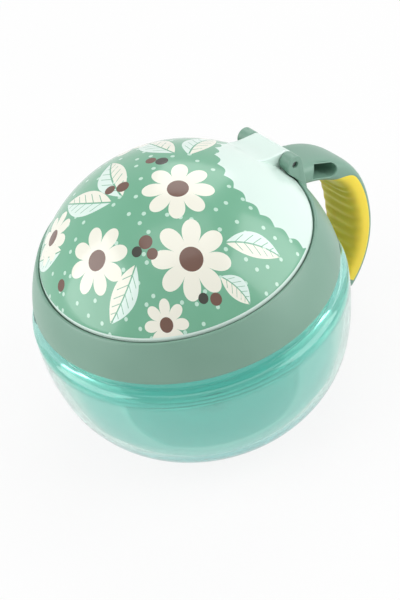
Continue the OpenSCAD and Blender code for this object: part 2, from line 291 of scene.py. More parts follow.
def dress(made: Thing, body: Body, slot: Slot, finish: Material, *replaced: str) -> None:
    """Finishes a piece, hangs it on its body and hides the CAD nodes that it stands for.

    Args:
        made: the piece.
        body: the body that it rides on.
        slot: the record's slot that its finish belongs to; not used.
        finish: its material.
        replaced: the CAD nodes that it stands for.
    """
    made.data.materials.clear()
    made.data.materials.append(finish)
    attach(made, body.value)
    if replaced:
        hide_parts(*replaced)
    LOG.info("%s: %d faces, rides on %s", made.name, len(made.data.polygons), body.value)


# ------------ nodes


def linear(code: str) -> tuple[float, float, float, float]:
    """Linear colour of an sRGB hex value."""
    parts = [int(code[i:i + 2], 16) / 255 for i in (1, 3, 5)]
    return (*[p / 12.92 if p <= 0.04045 else ((p + 0.055) / 1.055) ** 2.4 for p in parts], 1.0)


def per(size: float) -> float:
    """Scale on Object coordinates of a pattern whose parts are as large as a size."""
    return 1 / (size * MM)


def add_node(tree: bpy.types.NodeTree, kind: str, inputs: Mapping | Sequence = (),
             out: int | str = 0, **settings: object) -> Socket | None:
    """Adds a node with its settings and links.

    Args:
        tree: the node tree.
        kind: the node's type, for which "ShaderNode" may be left off, and a dot before its
            operation where it has one.
        inputs: a value or a socket for each input, by its name or place.
        out: the output to give back, by its name or place.
        settings: the node's own properties.
    Returns:
        The chosen output, where the node has one.
    """
    kind, _, operation = kind.partition(".")
    node = tree.nodes.new(kind if "Node" in kind else "ShaderNode" + kind)
    if operation:
        settings["operation"] = operation
    for key, value in settings.items():
        setattr(node, key, value)
    for key, value in inputs.items() if isinstance(inputs, Mapping) else enumerate(inputs):
        if isinstance(value, Socket):
            tree.links.new(value, node.inputs[key])
        else:
            node.inputs[key].default_value = value
    return node.outputs[out] if node.outputs else None


def opened(owner: Material | bpy.types.World) -> Adder:
    """Empties a node tree.

    Args:
        owner: the material or world whose tree it is.
    Returns:
        A function that adds a node to it.
    """
    owner.use_nodes = True
    owner.node_tree.nodes.clear()
    return partial(add_node, owner.node_tree)


@dataclass
class GrowthTree:
    """A Geometry Nodes tree with named sizes, which ends in Realize Instances and Set Material."""

    name: str
    sizes: Mapping[str, float]
    add: Adder = field(init=False)
    size: Mapping[str, Socket] = field(init=False)

    def __post_init__(self) -> None:
        """Makes the tree with an input for its geometry and for each size."""
        tree = bpy.data.node_groups.new(self.name, "GeometryNodeTree")
        for name, value in {"Geometry": None, **self.sizes}.items():
            kind = "Geometry" if value is None else "Int" if isinstance(value, int) else "Float"
            tree.interface.new_socket(name=name, in_out="INPUT", socket_type=f"NodeSocket{kind}")
        tree.interface.new_socket(name="Geometry", in_out="OUTPUT", socket_type="NodeSocketGeometry")
        self.add = partial(add_node, tree)
        self.size = self.add("NodeGroupInput").node.outputs

    def repeat_round(self, shape: Socket, count: Socket) -> Socket:
        """Adds copies of a shape, turned evenly round the cup's axis.

        Args:
            shape: the shape.
            count: how many copies make a full turn.
        Returns:
            The copies.
        """
        around = self.add("GeometryNodePoints", {"Count": count})
        step = self.add("Math.DIVIDE", [2 * math.pi, count])
        turn = self.add("Math.MULTIPLY", [self.add("GeometryNodeInputIndex"), step])
        angles = self.add("CombineXYZ", {"Z": turn})
        return self.add("GeometryNodeInstanceOnPoints",
                        {"Points": around, "Instance": shape, "Rotation": angles})

    def grow(self, made: Thing, shape: Socket, finish: Material) -> None:
        """Ends the tree, runs it on an object and keeps the result as its plain mesh.

        Args:
            made: the object.
            shape: the geometry that the tree gives.
            finish: its material.
        """
        real = self.add("GeometryNodeRealizeInstances", [shape])
        dressed = self.add("GeometryNodeSetMaterial", {"Geometry": real, "Material": finish})
        self.add("NodeGroupOutput", [dressed])
        modifier = made.modifiers.new(self.name, "NODES")
        modifier.node_group = shape.id_data
        for item in modifier.node_group.interface.items_tree:
            if item.name in self.sizes:
                modifier[item.identifier] = self.sizes[item.name]
        settle(made)


# ------------ finishes


def uneven(add: Adder, pattern: Pair) -> Socket:
    """Adds a fine noise of bumps.

    Args:
        add: adds a node to the material.
        pattern: the bumps' size and height.
    Returns:
        The bumped normal.
    """
    place = add("TexCoord", out="Object")
    noise = add("TexNoise", {"Vector": place, "Scale": per(pattern[0]), "Detail": 1.0})
    return add("Bump", {"Height": noise, "Strength": 1.0, "Distance": pattern[1] * MM})


@dataclass(frozen=True)
class Finish:
    """A finish of the cup, by its name."""

    name: str

    def surface(self, add: Adder) -> Socket:
        """Adds the finish's own nodes and gives its shader."""
        raise NotImplementedError

    def build(self) -> Material:
        """Makes the finish's material.

        Returns:
            The material, by the finish's name.
        """
        add = opened(made := bpy.data.materials.new(self.name))
        add("OutputMaterial", {"Surface": self.surface(add)})
        return made


@dataclass(frozen=True)
class MouldedPlastic(Finish):
    """Injection-moulded polypropylene: even colour, a faint flow mottle, and the fine
    grain of the mould's eroded surface, which breaks its highlights softly.

    Fields are the colour, its paler form in the mottle, the mottle's size, the roughness and
    its swing, and the grain's size and height. The real grain is about 0.1 across and is
    drawn coarser, so that it shows.
    """

    colour: str
    pale: str
    mottle: float = 22.222
    roughness: float = 0.38
    swing: float = 0.03
    grain: Pair = (0.35, 0.006)

    def surface(self, add: Adder) -> Socket:
        """Adds the plastic's nodes.

        Args:
            add: adds a node to the material.
        Returns:
            The shader.
        """
        place = add("TexCoord", out="Object")
        flow = add("TexNoise", {"Vector": place, "Scale": per(self.mottle), "Detail": 2.0})
        share = add("MapRange", {"Value": flow, "From Min": 0.3, "From Max": 0.7})
        colour = add("Mix", {"Factor": share, 6: linear(self.colour), 7: linear(self.pale)}, 2,
                     data_type="RGBA")
        rough = add("MapRange", {"Value": flow, "To Min": self.roughness - self.swing,
                                 "To Max": self.roughness + self.swing})
        return add("BsdfPrincipled", {"Base Color": colour, "Roughness": rough, "IOR": 1.49,
                                      "Normal": uneven(add, self.grain)})


@dataclass(frozen=True)
class TintedClear(Finish):
    """Injection-moulded clear copolyester with a teal tint: glossy and seen through, its
    side wall pale. Deeper tints are painted shade: on the floor, so that it shows through
    the wall as a darker disc, as the shaded table under the bowl would; on the foot's lower
    outside, where it turns under towards the table; and from the shoulder up, under the
    collar's overhang.

    Fields are the wall's tint and the painted-shade tints of the foot, the floor and the
    neck, the heights between which the foot's painted shade fades, the reach and top of the
    floor's painted shade, the heights between which the neck's painted shade begins, the
    middle and radius of the foot's curve, which tell its outside from its inside, the wall's
    slow wave by its size and height, the share of light let through, and the roughness.
    """

    wall: str
    foot: str
    floor: str
    neck: str
    foot_shade_fade: Pair = (10.0, 16.0)
    floor_reach: Pair = (27.2, 27.8)
    floor_shade_top: float = 3.0
    neck_shade_low: Pair = (37.4, 39.6)
    curve: Triple = (13.0, 28.87, 32.0)
    wave: Pair = (33.333, 0.01)
    clearness: float = 0.92
    roughness: float = 0.045

    def surface(self, add: Adder) -> Socket:
        """Adds the clear plastic's nodes.

        Args:
            add: adds a node to the material.
        Returns:
            The shader.
        """
        place = add("TexCoord", out="Object")
        height = add("SeparateXYZ", [place], "Z")
        reach = add("VectorMath.LENGTH", [add("VectorMath.MULTIPLY", [place, (1.0, 1.0, 0.0)])], "Value")
        # Masks of the painted shade: the floor disc, the fade of the foot's lower outside, and the band from
        # the shoulder up under the collar
        disc, fade, neck = (
            add("MapRange", {"Value": value, "From Min": low * MM, "From Max": high * MM,
                             "To Min": first, "To Max": 1.0 - first})
            for value, (low, high), first in ((reach, self.floor_reach, 1.0),
                                              (height, self.foot_shade_fade, 1.0),
                                              (height, self.neck_shade_low, 0.0)))
        below = add("Math.LESS_THAN", [height, self.floor_shade_top * MM])
        floor = add("Math.MULTIPLY", [disc, below])
        # The foot's painted shade keeps to the outside of its curve
        across, up, radius = (part * MM for part in self.curve)
        spot = add("CombineXYZ", {"X": reach, "Y": height})
        away = add("VectorMath.DISTANCE", [spot, (across, up, 0.0)], "Value")
        foot = add("Math.MULTIPLY", [fade, add("Math.GREATER_THAN", [away, radius])])
        # The wall's own tint, then painted shade: deeper teal on the foot's lower outside, on the floor disc
        # and from the shoulder up under the collar
        colour = linear(self.wall)
        for share, code in ((foot, self.foot), (floor, self.floor), (neck, self.neck)):
            colour = add("Mix", {"Factor": share, 6: colour, 7: linear(code)}, 2, data_type="RGBA")
        return add("BsdfPrincipled", {"Base Color": colour, "Roughness": self.roughness, "IOR": 1.54,
                                      "Transmission Weight": self.clearness,
                                      "Normal": uneven(add, self.wave)})


@dataclass(frozen=True)
class SoftRubber(Finish):
    """Overmoulded elastomer or silicone: matt, with a faint bloom at grazing angles
    and light that goes a little way in.

    Fields are the colour, its paler form in the mottle, the mottle's size, the roughness,
    the grain's size and height, drawn coarser than the real one so that it shows, the share
    of light that goes in and how deep.
    """

    colour: str
    pale: str
    mottle: float = 11.111
    roughness: float = 0.55
    grain: Pair = (0.4, 0.012)
    glow: float = 0.15
    depth: float = 2.0

    def surface(self, add: Adder) -> Socket:
        """Adds the rubber's nodes.

        Args:
            add: adds a node to the material.
        Returns:
            The shader.
        """
        place = add("TexCoord", out="Object")
        flow = add("TexNoise", {"Vector": place, "Scale": per(self.mottle), "Detail": 3.0})
        colour = add("Mix", {"Factor": flow, 6: linear(self.colour), 7: linear(self.pale)}, 2,
                     data_type="RGBA")
        return add("BsdfPrincipled",
                   {"Base Color": colour, "Roughness": self.roughness, "IOR": 1.45,
                    "Subsurface Weight": self.glow, "Subsurface Scale": self.depth * MM,
                    "Sheen Weight": 0.1, "Sheen Roughness": 0.4, "Normal": uneven(add, self.grain)})


@dataclass(frozen=True)
class DrawnSteel(Finish):
    """Drawn stainless steel wire, cut to length: bright, with fine rings along it.

    Fields are the colour and the rings' spacing and height. Real rings are finer and are
    drawn coarser, so that they show.
    """

    colour: str
    ring: Pair = (0.349, 0.004)

    def surface(self, add: Adder) -> Socket:
        """Adds the steel's nodes.

        Args:
            add: adds a node to the material.
        Returns:
            The shader.
        """
        place = add("TexCoord", out="Object")
        # At scale 1 the texture repeats its bands 20 times in a length of 2 pi
        scale = per(self.ring[0]) * math.pi / 10
        lines = add("TexWave", {"Vector": place, "Scale": scale, "Distortion": 2.0})
        bump = add("Bump", {"Height": lines, "Strength": 1.0, "Distance": self.ring[1] * MM})
        return add("BsdfPrincipled", {"Base Color": linear(self.colour), "Metallic": 1.0,
                                      "Roughness": 0.3, "Normal": bump})


def leaf(add: Adder, place: Socket, bent: float = 0.28, vein: float = 0.055, ribs: float = 6.5,
         slant: float = 0.22, rib: float = 0.11, rib_end: float = 0.74) -> list[Socket]:
    """Draws a pointed, bent leaf with bare lines for its vein and ribs.

    Args:
        add: adds a node to the drawing.
        place: its coordinates, x from 0 at its foot to 1 at its tip, y across it.
        bent: how far its middle line bends, in half widths.
        vein: half the vein's width, in half widths.
        ribs: ribs along it.
        slant: how far a rib leans to the tip.
        rib: a rib's width, as a share of their spacing.
        rib_end: how far out a rib reaches.
    Returns:
        Where its ink lies, and where the ink lies on one side of the vein.
    """
    x = add("SeparateXYZ", [place])
    t = add("Math.MULTIPLY_ADD", [x, 2.0, -1.0])
    square = add("Math.MULTIPLY", [t, t])
    width = add("Math.SUBTRACT", [1.0, square])
    bend = add("Math.MULTIPLY_ADD", [square, bent, x.node.outputs["Y"]])
    across = add("Math.ABSOLUTE", [bend])
    inside = add("Math.LESS_THAN", [across, width])
    beside = add("Math.GREATER_THAN", [across, vein])
    leaned = add("Math.MULTIPLY_ADD", [across, -slant, x])
    phase = add("Math.FRACT", [add("Math.MULTIPLY", [leaned, ribs])])
    between = add("Math.GREATER_THAN", [phase, rib])
    far = add("Math.GREATER_THAN", [across, add("Math.MULTIPLY", [width, rib_end])])
    lines = add("Math.MULTIPLY", [beside, add("Math.MAXIMUM", [between, far])])
    ink = add("Math.MULTIPLY", [inside, lines])
    return [ink, add("Math.MULTIPLY", [ink, add("Math.GREATER_THAN", [bend, 0.0])])]


def bloom(add: Adder, place: Socket, petals: int = 8, notch: float = 0.42,
          middle: float = 0.3) -> list[Socket]:
    """Draws a flower.

    Args:
        add: adds a node to the drawing.
        place: its coordinates from its middle, its radius being 1.
        petals: how many petals it has.
        notch: radius at which two petals part.
        middle: radius of its middle.
    Returns:
        Where its petals lie, and where its middle lies.
    """
    x = add("SeparateXYZ", [place])
    reach = add("VectorMath.LENGTH", [place], "Value")
    turn = add("Math.ARCTAN2", [x.node.outputs["Y"], x])
    wave = add("Math.COSINE", [add("Math.MULTIPLY", [turn, petals / 2])])
    root = add("Math.POWER", [add("Math.ABSOLUTE", [wave]), 0.5])
    edge = add("Math.MULTIPLY_ADD", [root, 1 - notch, notch])
    return [add("Math.LESS_THAN", [reach, edge]), add("Math.LESS_THAN", [reach, middle])]


@dataclass(frozen=True)
class PrintedGloss(Finish):
    """Polypropylene moulded in a polished mould and pad-printed with leaves, flowers and
    berries: even inks with crisp edges under one smooth gloss, bare plastic round them.

    Fields are the colours of the plastic and the inks; the print's edge on the dome's map,
    its scallops' depth and number in a full turn; the bare bay's middle and radius; the
    flecks' spacing, and their radius as a share of it; the sizes of the ink's clouds and,
    with its height, of the gloss's slow wave; the roughness; the leaves' feet, turns in
    degrees, lengths and widths; and the middles and radii of the flowers and the berries.
    """

    bare: str
    ground: str
    ground_deep: str
    cream: str
    fleck: str
    brown: str
    dark: str
    edge: float = 49.45
    scallop: float = 1.5
    scallops: int = 34
    bay: Triple = (20.0, 44.0, 30.0)
    fleck_spacing: float = 5.8824
    fleck_share: float = 0.11
    cloud: float = 16.667
    wave: Pair = (14.286, 0.03)
    roughness: Pair = (0.16, 0.24)
    leaves: tuple[tuple[float, ...], ...] = (
        (16.5, -24, -84, 19, 8.5), (29, 0, 48, 18, 8.0), (-4, -12, 152, 22, 9.5), (-5, -15, -168, 22, 9.5),
        (-3, 13, 118, 20, 9.0), (-6, 10, 168, 22, 9.5), (-14, -34, -165, 19, 8.5), (-24, 26, 100, 16, 7.5),
        (-36, -6, 230, 18, 8.0), (36, -8, 12, 12, 6.5))
    blooms: tuple[Triple, ...] = (
        (27.0, -12.0, 12.0), (3.0, -30.0, 10.5), (8.0, 1.0, 10.5), (33.5, -31.5, 7.5),
        (-24.0, -30.0, 9.0), (-32.0, 12.0, 10.5), (-17.5, 33.0, 8.0))
    berries: tuple[Triple, ...] = (
        (13.5, -17.5, 2.1), (17.4, -18.8, 1.7), (13.2, -21.2, 1.6), (-6.5, -8.0, 2.0), (-9.8, -10.6, 1.7),
        (-5.0, 6.0, 1.9), (-8.2, 4.4, 1.6), (40.0, -14.5, 1.9), (37.2, -17.4, 1.6), (-8.0, -42.0, 1.9),
        (-40.0, -14.0, 1.8), (-22.0, 22.0, 1.9))

    def stamp(self, draw: Callable[[Adder, Socket], list[Socket]]) -> bpy.types.NodeTree:
        """Makes the group that prints one kind of mark in two inks.

        Args:
            draw: draws the mark from its own coordinates.
        Returns:
            The group.
        """
        tree = bpy.data.node_groups.new(f"Stamp of a {draw.__name__}", "ShaderNodeTree")
        for name, side, kind in (("Place", "INPUT", "Vector"), ("Ink", "OUTPUT", "Float"),
                                 ("Second ink", "OUTPUT", "Float")):
            tree.interface.new_socket(name=name, in_out=side, socket_type=f"NodeSocket{kind}")
        add = partial(add_node, tree)
        add("NodeGroupOutput", draw(add, add("NodeGroupInput")))
        return tree

    def printed(self, add: Adder, place: Socket) -> Socket:
        """Adds where the print lies: to a plain rim, but for a scalloped bay at the hinge.

        Args:
            add: adds a node to the material.
            place: the dome's map.
        Returns:
            1 where it is printed, 0 where it is bare.
        """
        x, y, radius = self.bay
        whole = add("Math.LESS_THAN", [add("VectorMath.LENGTH", [place], "Value"), self.edge])
        off = add("VectorMath.SUBTRACT", [place, (x, y, 0.0)])
        east = add("SeparateXYZ", [off])
        turn = add("Math.ARCTAN2", [east.node.outputs["Y"], east])
        wave = add("Math.SINE", [add("Math.MULTIPLY", [turn, self.scallops / 2])])
        edge = add("Math.MULTIPLY_ADD", [add("Math.ABSOLUTE", [wave]), -self.scallop, radius])
        out = add("Math.GREATER_THAN", [add("VectorMath.LENGTH", [off], "Value"), edge])
        return add("Math.MULTIPLY", [whole, out])

    def surface(self, add: Adder) -> Socket:
        """Adds the print's nodes, which read the dome's own map in millimetres.

        Args:
            add: adds a node to the material.
        Returns:
            The shader.
        """
        place = add("UVMap", uv_map="dome")
        flow = add("TexNoise", {"Vector": place, "Scale": 1 / self.cloud, "Detail": 2.0})
        cells = add("TexVoronoi", {"Vector": place, "Scale": 1 / self.fleck_spacing, "Randomness": 0.75},
                    "Distance", voronoi_dimensions="2D")
        flecks = add("Math.LESS_THAN", [cells, self.fleck_share])
        layers = [(flow, self.ground_deep), (flecks, self.fleck)]
        leaves = [(x, y, turn, length, width / 2) for x, y, turn, length, width in self.leaves]
        blooms = [(x, y, 0, radius, radius) for x, y, radius in self.blooms]
        for draw, marks, second in ((leaf, leaves, self.bare), (bloom, blooms, self.brown)):
            group = self.stamp(draw)
            for x, y, turn, *size in marks:
                at = add("Mapping", {"Vector": place, "Location": (x, y, 0.0),
                                     "Rotation": (0.0, 0.0, math.radians(turn)), "Scale": (*size, 1.0)},
                         vector_type="TEXTURE")
                ink = add("Group", [at], node_tree=group)
                layers += [(ink, self.cream), (ink.node.outputs[1], second)]
        for k, (x, y, radius) in enumerate(self.berries):
            apart = add("VectorMath.DISTANCE", [place, (x, y, 0.0)], "Value")
            layers.append((add("Math.LESS_THAN", [apart, radius]), self.dark if k % 3 == 2 else self.brown))
        colour = linear(self.ground)
        for share, code in layers:
            colour = add("Mix", {"Factor": share, 6: colour, 7: linear(code)}, 2, data_type="RGBA")
        colour = add("Mix", {"Factor": self.printed(add, place), 6: linear(self.bare), 7: colour}, 2,
                     data_type="RGBA")
        rough = add("MapRange", {"Value": flow, "To Min": self.roughness[0], "To Max": self.roughness[1]})
        return add("BsdfPrincipled", {"Base Color": colour, "Roughness": rough, "IOR": 1.5,
                                      "Coat Weight": 0.15, "Coat Roughness": 0.05,
                                      "Normal": uneven(add, self.wave)})


# ------------ the bowl


@dataclass
class ScrewThread:
    """Two-start moulded screw thread round a neck.

    Fields are the radius of the wall it stands on, its lowest height, its rise in one turn,
    the turns of each start, how far it stands proud, its width at the wall and at its crest,
    its starts, and the share of its length on which it fades in, from which scale.
    """

    radius: float
    low: float
    lead: float = 6.0
    turns: float = 0.72
    proud: float = 0.9
    root: float = 1.9
    crest: float = 0.9
    starts: int = 2
    fade: float = 0.08
    fade_from: float = 0.05

    def make(self, name: str, finish: Material) -> Thing:
        """Makes the thread by a geometry tree: a helix swept with its section, then repeated.

        Args:
            name: the piece's name.
            finish: its material.
        Returns:
            The piece.
        """
        growth = GrowthTree("Screw thread", {
            "Radius": self.radius * MM, "Rise": self.lead * self.turns * MM, "Turns": self.turns,
            "Proud": self.proud * MM, "Root": self.root * MM, "Crest": self.crest * MM,
            "Starts": self.starts, "Low": self.low * MM})
        add, size = growth.add, growth.size
        line = add("GeometryNodeCurveSpiral",
                   {"Resolution": 128, "Rotations": size["Turns"], "Start Radius": size["Radius"],
                    "End Radius": size["Radius"], "Height": size["Rise"], "Reverse": True})
        level = add("GeometryNodeSetCurveNormal", {"Curve": line}, mode="Z_UP")
        share = add("GeometryNodeSplineParameter", out="Factor")
        least = add("Math.MINIMUM", [share, add("Math.SUBTRACT", [1.0, share])])
        swell = add("MapRange", {"Value": least, "From Max": self.fade, "To Min": self.fade_from},
                    interpolation_type="SMOOTHSTEP")
        section = add("GeometryNodeCurvePrimitiveQuadrilateral",
                      {"Bottom Width": size["Root"], "Top Width": size["Crest"],
                       "Height": size["Proud"], "Offset": 0.0}, mode="TRAPEZOID")
        half = add("CombineXYZ", {"Y": add("Math.MULTIPLY", [size["Proud"], 0.5])})
        stood = add("GeometryNodeTransform", {"Geometry": section, "Translation": half})
        turned = add("GeometryNodeTransform", {"Geometry": stood, "Rotation": (0.0, 0.0, -math.pi / 2)})
        ridge = add("GeometryNodeCurveToMesh",
                    {"Curve": level, "Profile Curve": turned, "Scale": swell, "Fill Caps": True})
        copies = growth.repeat_round(ridge, size["Starts"])
        lift = add("CombineXYZ", {"Z": size["Low"]})
        placed = add("GeometryNodeTransform", {"Geometry": copies, "Translation": lift})
        made = new_object(name, bpy.data.meshes.new(name))
        growth.grow(made, placed, finish)
        turn_outwards(made, 30)
        return made


@dataclass
class CupBowl:
    """The clear bowl: ball-shaped shell, rounded shoulder, band and threaded neck.

    Its side is one arc about the widest ring and its lower part a smaller one, which meet
    side_drop below it. foot_ring is the standing ring's section, each point by its distance
    from the foot's outer edge and its height.
    """

    tint: Material
    wall: float = 2.0
    radius: float = 47.5
    side_arc: float = 77.0
    side_drop: float = 20.0
    lower_arc: float = 33.0
    shoulder: float = 2.6
    shoulder_ledge: float = 0.9
    band: float = 3.9
    neck: float = 9.0
    neck_radius: float = 39.212
    neck_wall: float = 2.0
    base_recess: float = 0.45
    gate_radius: float = 1.8
    gate_depth: float = 0.2
    foot_ring: tuple[Pair, ...] = ((3.4, 0.45), (2.9, 0.3), (2.5, 0.06), (2.1, 0), (0.9, 0), (0.2, 0.12))
    round_off: float = 0.35
    thread_sunk: float = 0.1
    thread_lift: float = 2.4

    @property
    def neck_foot(self) -> float:
        """Height of the neck's foot."""
        return BALL_Z + self.shoulder + self.band

    def section(self) -> list[Pair]:
        """Draws the shell's section from the middle of its underside out, over and in to its floor.

        Returns:
            Radii and heights.
        """
        side = (self.radius - self.side_arc, BALL_Z)
        lean = math.degrees(math.asin(self.side_drop / self.side_arc))
        run = self.side_arc - self.lower_arc
        lower = (side[0] + run * math.cos(math.radians(lean)), BALL_Z - run * math.sin(math.radians(lean)))
        foot = -math.degrees(math.asin(lower[1] / self.lower_arc))
        foot_r = lower[0] + self.lower_arc * math.cos(math.radians(foot))
        inner = self.lower_arc - self.wall
        inner_foot = -math.degrees(math.asin((lower[1] - self.wall) / inner))
        floor_r = lower[0] + inner * math.cos(math.radians(inner_foot))
        top, rim, k = BALL_Z + self.shoulder, self.neck_foot + self.neck, self.round_off
        band_r = self.radius - self.shoulder - self.shoulder_ledge
        in_r = self.neck_radius - self.neck_wall
        gate_z = self.base_recess - self.gate_depth
        return [
            (0, gate_z), (self.gate_radius, gate_z), (self.gate_radius + 0.3, self.base_recess),
            *[(foot_r - inwards, z) for inwards, z in self.foot_ring],
            *arc(lower, self.lower_arc, foot + 1.4, -lean, 48),
            *arc(side, self.side_arc, -lean, 0, 30)[1:],
            *arc((self.radius - self.shoulder, BALL_Z), self.shoulder, 0, 90, 14)[1:],
            *arc((band_r + k, top + k), k, 270, 180, 5),
            *arc((band_r - k, self.neck_foot - k), k, 0, 90, 6),
            *arc((self.neck_radius + k, self.neck_foot + k), k, 270, 180, 5),
            *arc((self.neck_radius - k, rim - k), k, 0, 90, 6),
            *arc((in_r + k, rim - k), k, 90, 180, 6),
            (in_r, self.neck_foot - 0.1), (in_r + 0.3, self.neck_foot - 0.9),
            (self.radius - self.wall - 0.5, BALL_Z - self.wall + 0.8),
            (self.radius - self.wall, BALL_Z - self.wall - 0.2),
            *arc(side, self.side_arc - self.wall, -2.2, -lean, 26),
            *arc(lower, inner, -lean, inner_foot + 4, 44)[1:],
            (floor_r - 0.6, self.wall + 0.16), (floor_r - 3, self.wall), (0, self.wall),
        ]

    def make(self) -> None:
        """Builds and dresses the shell and its thread."""
        shell = revolve("bowl_shell", self.section(), 35)
        dress(shell, Body.CUP, Slot.CLEAR_TEAL, self.tint, "bowl")
        thread = ScrewThread(self.neck_radius - self.thread_sunk, self.neck_foot + self.thread_lift)
        dress(thread.make("bowl_thread", self.tint), Body.CUP, Slot.CLEAR_TEAL, self.tint)


# ------------ collar and handle


def bar(start: float, end: float, radius: float) -> Thing:
    """Round bar along the hinge's axis, a tool for its bores."""
    return loft("drill", [wheel(start, radius), wheel(end, radius)], capped=True)


@dataclass
class ScrewCollar:
    """The collar that screws on the bowl: ring, lip, mouth and hinge ears.

    Heights and radii are before its top slopes with the lid's edge. ear_from and ear_thick
    are along the pin.
    """

    finish: Material
    ball: float = 46.5
    low: float = 47.2
    under: float = 56.7
    deck: float = 59.9
    lip: float = 60.9
    bore: float = 40.612
    skirt_in: float = 44.085
    taper: float = 3.2
    seat: float = 40.919
    flange: float = 36.412
    mouth: float = 33.212
    rebate: float = 1.2
    edge: float = 0.3
    ear_from: float = 7.3
    ear_thick: float = 4.1
    ear_root: float = 0.9
    ear_edge: float = 0.38
    bore_pin: float = 1.02
    seat_top: float = 62.05

    def outside(self, share: float) -> np.ndarray:
        """Draws a ring on the collar's ball.

        Args:
            share: 0 for its level lower edge, 1 for its sloping lip.
        Returns:
            The ring's points.
        """
        level, slope = (circle(leg(self.ball, z - BALL_Z), z) for z in (self.low, self.lip))
        way = level + (tilted(slope) - level) * share - CENTRE
        return CENTRE + way * (self.ball / np.linalg.norm(way, axis=1, keepdims=True))

    def under_mouth(self) -> np.ndarray:
        """Draws the edge where the sloping mouth comes through the level underside of the deck.

        Returns:
            The ring's points.
        """
        ring = circle(self.mouth, 0)
        ring[:, 2] = BALL_Z + (self.under - BALL_Z - ring[:, 1] * TILT_SIN) / TILT_COS
        return tilted(ring)

    def ring(self) -> Thing:
        """Makes the collar's ring, closed on itself.

        Returns:
            The ring.
        """
        seat_z = self.deck - self.rebate
        rings = [self.outside(k / 16) for k in range(17)]
        rings += [tilted(circle(r, z)) for r, z in (
            (self.seat, self.lip), (self.seat, self.deck), (self.flange, self.deck),
            (self.flange, seat_z), (self.mouth, seat_z))]
        rings += [self.under_mouth(), circle(self.bore, self.under),
                  circle(self.bore, self.low + self.taper), circle(self.skirt_in, self.low)]
        made = loft("collar_shell", rings, closed=True)
        soften(made, self.edge)
        return made

    def ear_front(self, x: float, z: float) -> float:
        """Finds how far forward an ear comes, clear of the dome and the lid's seat.

        Args:
            x: distance along the pin.
            z: height.
        Returns:
            The front's distance behind the cup's axis.
        """
        along = leg(self.seat, x)
        up = (z - BALL_Z - along * TILT_SIN) / TILT_COS
        if up + BALL_Z < self.seat_top:
            return max(along * TILT_COS - up * TILT_SIN, 0)
        return max(math.sqrt(max(CLEAR_BALL**2 - (z - BALL_Z) ** 2 - x**2, 0)), HINGE[0] - BARREL)

    def ear_outline(self, x: float) -> list[Pair]:
        """Draws an ear's outline in the hinge's plane.

        Args:
            x: distance along the pin.
        Returns:
            The outline.
        """
        y, z = HINGE
        low = self.under + self.ear_root
        back = [(y + BARREL, h) for h in np.linspace(low, z - 0.2, 8)]
        dome_z = BALL_Z + math.sqrt(CLEAR_BALL**2 - (y - BARREL) ** 2 - x**2)
        heights = np.linspace(min(dome_z, z - 0.05), low, 34)
        return back + arc(HINGE, BARREL, 0, 180, 40) + [(self.ear_front(x, h), h) for h in heights]

    def ear(self, side: int) -> Thing:
        """Makes one ear, with its bore and rounded edges.

        Args:
            side: -1 for the left ear, 1 for the right.
        Returns:
            The ear.
        """
        outer = self.ear_from + self.ear_thick
        rings = [np.array([(side * x, y, z) for y, z in self.ear_outline(x)])
                 for x in np.linspace(self.ear_from, outer, 7)]
        made = loft("ear", rings, 30, capped=True)
        cut(made, bar(0.0, (outer + 2) * side, self.bore_pin))
        soften(made, self.ear_edge, 4, 40)
        return made

    def make(self) -> None:
        """Builds and dresses the ring with its ears."""
        ring = join(self.ring(), self.ear(-1), self.ear(1))
        dress(ring, Body.COLLAR, Slot.SAGE, self.finish, "collar")


